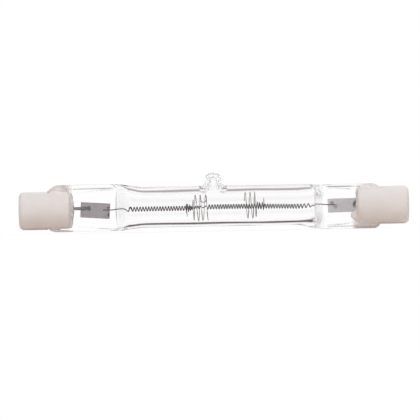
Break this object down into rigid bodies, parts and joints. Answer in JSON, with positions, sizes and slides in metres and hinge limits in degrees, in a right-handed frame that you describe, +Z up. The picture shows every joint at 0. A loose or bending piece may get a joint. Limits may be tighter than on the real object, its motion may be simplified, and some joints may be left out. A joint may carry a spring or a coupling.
{
  "type": "linear halogen bulb",
  "caption": "Double-ended linear halogen bulb: clear quartz tube with pinch seals, a coiled filament on wire spirals, an exhaust tip and ceramic end caps with recessed contacts.",
  "frame": {"origin": "centre of the bounding box's footprint, level with the lowest edge of the pinch seals", "axes": "+X along the tube towards the right cap, +Y away from the viewer, +Z up through the exhaust tip"},
  "size_m": [0.0782, 0.0082, 0.0117],
  "materials": {
    "quartz": "clear, fire-polished",
    "ceramic": "matt off-white",
    "cement": "matt, off-white",
    "nickel": "satin nickel",
    "molybdenum": "satin grey",
    "tungsten": "dull dark grey"
  },
  "bodies": {
    "root": {"quartz_envelope": "quartz", "filament": "tungsten", "left_cap": "ceramic", "left_contact": "nickel", "left_cement": "cement", "left_foil": "molybdenum", "left_outer_lead": "molybdenum", "left_support": "tungsten", "right_cap": "ceramic", "right_contact": "nickel", "right_cement": "cement", "right_foil": "molybdenum", "right_outer_lead": "molybdenum", "right_support": "tungsten"}
  },
  "joints": []
}
